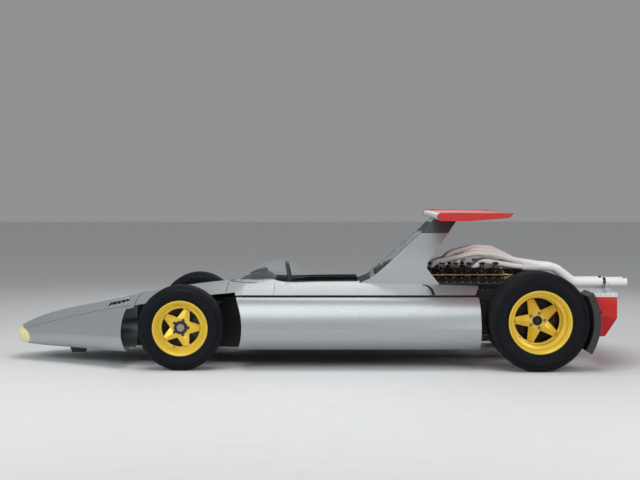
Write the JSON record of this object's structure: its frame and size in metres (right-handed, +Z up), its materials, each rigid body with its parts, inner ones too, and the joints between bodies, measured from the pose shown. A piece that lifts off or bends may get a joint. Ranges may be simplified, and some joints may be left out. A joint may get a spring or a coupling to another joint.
{
  "type": "open wheel racing car",
  "caption": "Single-seat open wheel racing car with side pontoons, raked pylon, full-width rear wing, exposed vee engine and steered front wheels.",
  "frame": {"origin": "on the floor, at the middle of the car's length and width", "axes": "+X runs towards the tail, +Y towards the car's right-hand side and +Z up"},
  "size_m": [4.392, 1.97, 1.056],
  "materials": {
    "body_silver": "satin metallic paint on glass fibre",
    "ring_cream": "gloss",
    "seal_black": "matte",
    "tub_black": "satin",
    "hood_dark": "matte",
    "clear": "clear",
    "wing_red": "gloss",
    "cap_white": "gloss",
    "guard_black": "matte",
    "engine_cast": "as cast",
    "cover_black": "crackle",
    "pipe_white": "matte heat paint",
    "radiator_black": "matte",
    "rod_steel": "satin",
    "wheel_yellow": "satin",
    "tyre": "matte",
    "steering_black": "satin"
  },
  "bodies": {
    "chassis": {"cam_covers": "cover_black", "cockpit_deck": "body_silver", "cylinder_heads": "engine_cast", "dash_hood": "hood_dark", "deck_seals": "seal_black", "engine_block": "engine_cast", "exhaust_left": "pipe_white", "exhaust_right": "pipe_white", "front_deck": "body_silver", "front_lower_arm_left": "rod_steel", "front_lower_arm_right": "rod_steel", "front_upper_arm_left": "rod_steel", "front_upper_arm_right": "rod_steel", "gearbox": "engine_cast", "headrest": "hood_dark", "intake_stubs": "cover_black", "nose_ring": "ring_cream", "nose_shell": "body_silver", "nose_skids": "seal_black", "pontoon_left": "body_silver", "pontoon_right": "body_silver", "pylon": "body_silver", "radiator": "radiator_black", "rear_carrier_left": "rod_steel", "rear_carrier_right": "rod_steel", "rear_deck_left": "body_silver", "rear_deck_right": "body_silver", "seat": "hood_dark", "tail_box_left": "wing_red", "tail_box_right": "wing_red", "tail_cap": "cap_white", "tub": "tub_black", "tyre_guard_left": "guard_black", "tyre_guard_right": "guard_black", "windscreen": "clear", "wing": "wing_red", "wing_plate_left": "wing_red", "wing_plate_right": "wing_red"},
    "steering_wheel": {"steering_wheel": "steering_black"},
    "steering_rack": {"steering_rack": "rod_steel"},
    "knuckle_left": {"knuckle_left": "rod_steel"},
    "knuckle_right": {"knuckle_right": "rod_steel"},
    "wheel_front_left": {"rim_front_left": "wheel_yellow", "tyre_front_left": "tyre"},
    "wheel_front_right": {"rim_front_right": "wheel_yellow", "tyre_front_right": "tyre"},
    "wheel_rear_left": {"rim_rear_left": "wheel_yellow", "tyre_rear_left": "tyre", "drive_shaft_left": "rod_steel"},
    "wheel_rear_right": {"rim_rear_right": "wheel_yellow", "tyre_rear_right": "tyre", "drive_shaft_right": "rod_steel"}
  },
  "joints": [
    {"name": "steer_left", "type": "hinge", "parent": "chassis", "child": "knuckle_left", "pos_m": [-0.95, -0.7, 0.285], "axis": [0, 0, 1], "range_deg": [-14, 14]},
    {"name": "steer_right", "type": "hinge", "parent": "chassis", "child": "knuckle_right", "pos_m": [-0.95, 0.7, 0.285], "axis": [0, 0, 1], "range_deg": [-14, 14]},
    {"name": "rack_slide", "type": "slide", "parent": "chassis", "child": "steering_rack", "axis": [0, 1, 0], "range_m": [-0.02933, 0.02933]},
    {"name": "steering_wheel_turn", "type": "hinge", "parent": "chassis", "child": "steering_wheel", "pos_m": [-0.224, 0, 0.537], "axis": [0.9816, 0, 0.1908], "range_deg": [-112, 112]},
    {"name": "spin_front_left", "type": "hinge", "parent": "knuckle_left", "child": "wheel_front_left", "pos_m": [-0.95, -0.765, 0.285], "axis": [0, 1, 0], "continuous": true},
    {"name": "spin_front_right", "type": "hinge", "parent": "knuckle_right", "child": "wheel_front_right", "pos_m": [-0.95, 0.765, 0.285], "axis": [0, 1, 0], "continuous": true},
    {"name": "spin_rear_left", "type": "hinge", "parent": "chassis", "child": "wheel_rear_left", "pos_m": [1.45, -0.8, 0.332], "axis": [0, 1, 0], "continuous": true},
    {"name": "spin_rear_right", "type": "hinge", "parent": "chassis", "child": "wheel_rear_right", "pos_m": [1.45, 0.8, 0.332], "axis": [0, 1, 0], "continuous": true}
  ],
  "couplings": [
    {"joint": "steer_right", "follows": "steer_left", "ratio": 1},
    {"joint": "rack_slide", "follows": "steer_left", "m_per_rad": -0.12},
    {"joint": "steering_wheel_turn", "follows": "steer_left", "ratio": 8}
  ]
}
